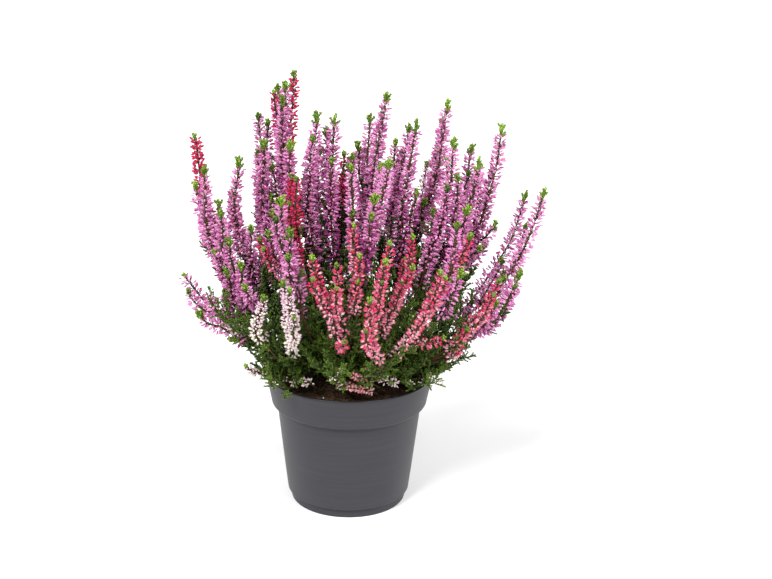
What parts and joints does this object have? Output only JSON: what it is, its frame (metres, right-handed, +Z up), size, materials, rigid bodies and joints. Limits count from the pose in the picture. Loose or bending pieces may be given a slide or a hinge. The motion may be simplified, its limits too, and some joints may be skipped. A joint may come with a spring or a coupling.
{
  "type": "potted heather",
  "caption": "Bud-blooming heather with mauve, crimson and pale spikes, growing in a round dark grey nursery pot filled with compost.",
  "frame": {"origin": "middle of the pot's flat underside, on the surface that it stands on", "axes": "+Z up along the pot's axis, -Y towards the viewer of the fuller crimson side, +X to that viewer's right"},
  "size_m": [0.2723, 0.2313, 0.33],
  "materials": {
    "pot_plastic": "satin",
    "compost": "matte",
    "bark": "matte",
    "leaf": "matte",
    "bud_mauve": "matte",
    "bud_crimson": "matte",
    "bud_pale": "matte"
  },
  "bodies": {
    "root": {"compost": "compost", "crimson_shoot_01": "bud_crimson", "crimson_shoot_02": "bud_crimson", "crimson_shoot_03": "bud_crimson", "crimson_shoot_04": "bud_crimson", "crimson_shoot_05": "bud_crimson", "crimson_shoot_06": "bud_crimson", "crimson_shoot_07": "bud_crimson", "crimson_shoot_08": "bud_crimson", "crimson_shoot_09": "bud_crimson", "crimson_shoot_10": "bud_crimson", "crimson_shoot_11": "bud_crimson", "crimson_shoot_12": "bud_crimson", "crimson_shoot_13": "bud_crimson", "crimson_shoot_14": "bud_crimson", "crimson_shoot_15": "bud_crimson", "leafy_shoot_01": "leaf", "leafy_shoot_02": "leaf", "leafy_shoot_03": "leaf", "leafy_shoot_04": "leaf", "leafy_shoot_05": "leaf", "leafy_shoot_06": "leaf", "leafy_shoot_07": "leaf", "mauve_shoot_01": "bud_mauve", "mauve_shoot_02": "bud_mauve", "mauve_shoot_03": "bud_mauve", "mauve_shoot_04": "bud_mauve", "mauve_shoot_05": "bud_mauve", "mauve_shoot_06": "bud_mauve", "mauve_shoot_07": "bud_mauve", "mauve_shoot_08": "bud_mauve", "mauve_shoot_09": "bud_mauve", "mauve_shoot_10": "bud_mauve", "mauve_shoot_11": "bud_mauve", "mauve_shoot_12": "bud_mauve", "mauve_shoot_13": "bud_mauve", "mauve_shoot_14": "bud_mauve", "mauve_shoot_15": "bud_mauve", "mauve_shoot_16": "bud_mauve", "mauve_shoot_17": "bud_mauve", "mauve_shoot_18": "bud_mauve", "mauve_shoot_19": "bud_mauve", "mauve_shoot_20": "bud_mauve", "mauve_shoot_21": "bud_mauve", "mauve_shoot_22": "bud_mauve", "mauve_shoot_23": "bud_mauve", "mauve_shoot_24": "bud_mauve", "mauve_shoot_25": "bud_mauve", "mauve_shoot_26": "bud_mauve", "mauve_shoot_27": "bud_mauve", "mauve_shoot_28": "bud_mauve", "pale_shoot_01": "bud_pale", "pale_shoot_02": "bud_pale", "pale_shoot_03": "bud_pale", "pot": "pot_plastic", "stock_crimson_back": "bark", "stock_crimson_front": "bark", "stock_mauve_back": "bark", "stock_mauve_left": "bark", "stock_mauve_right": "bark"}
  },
  "joints": []
}
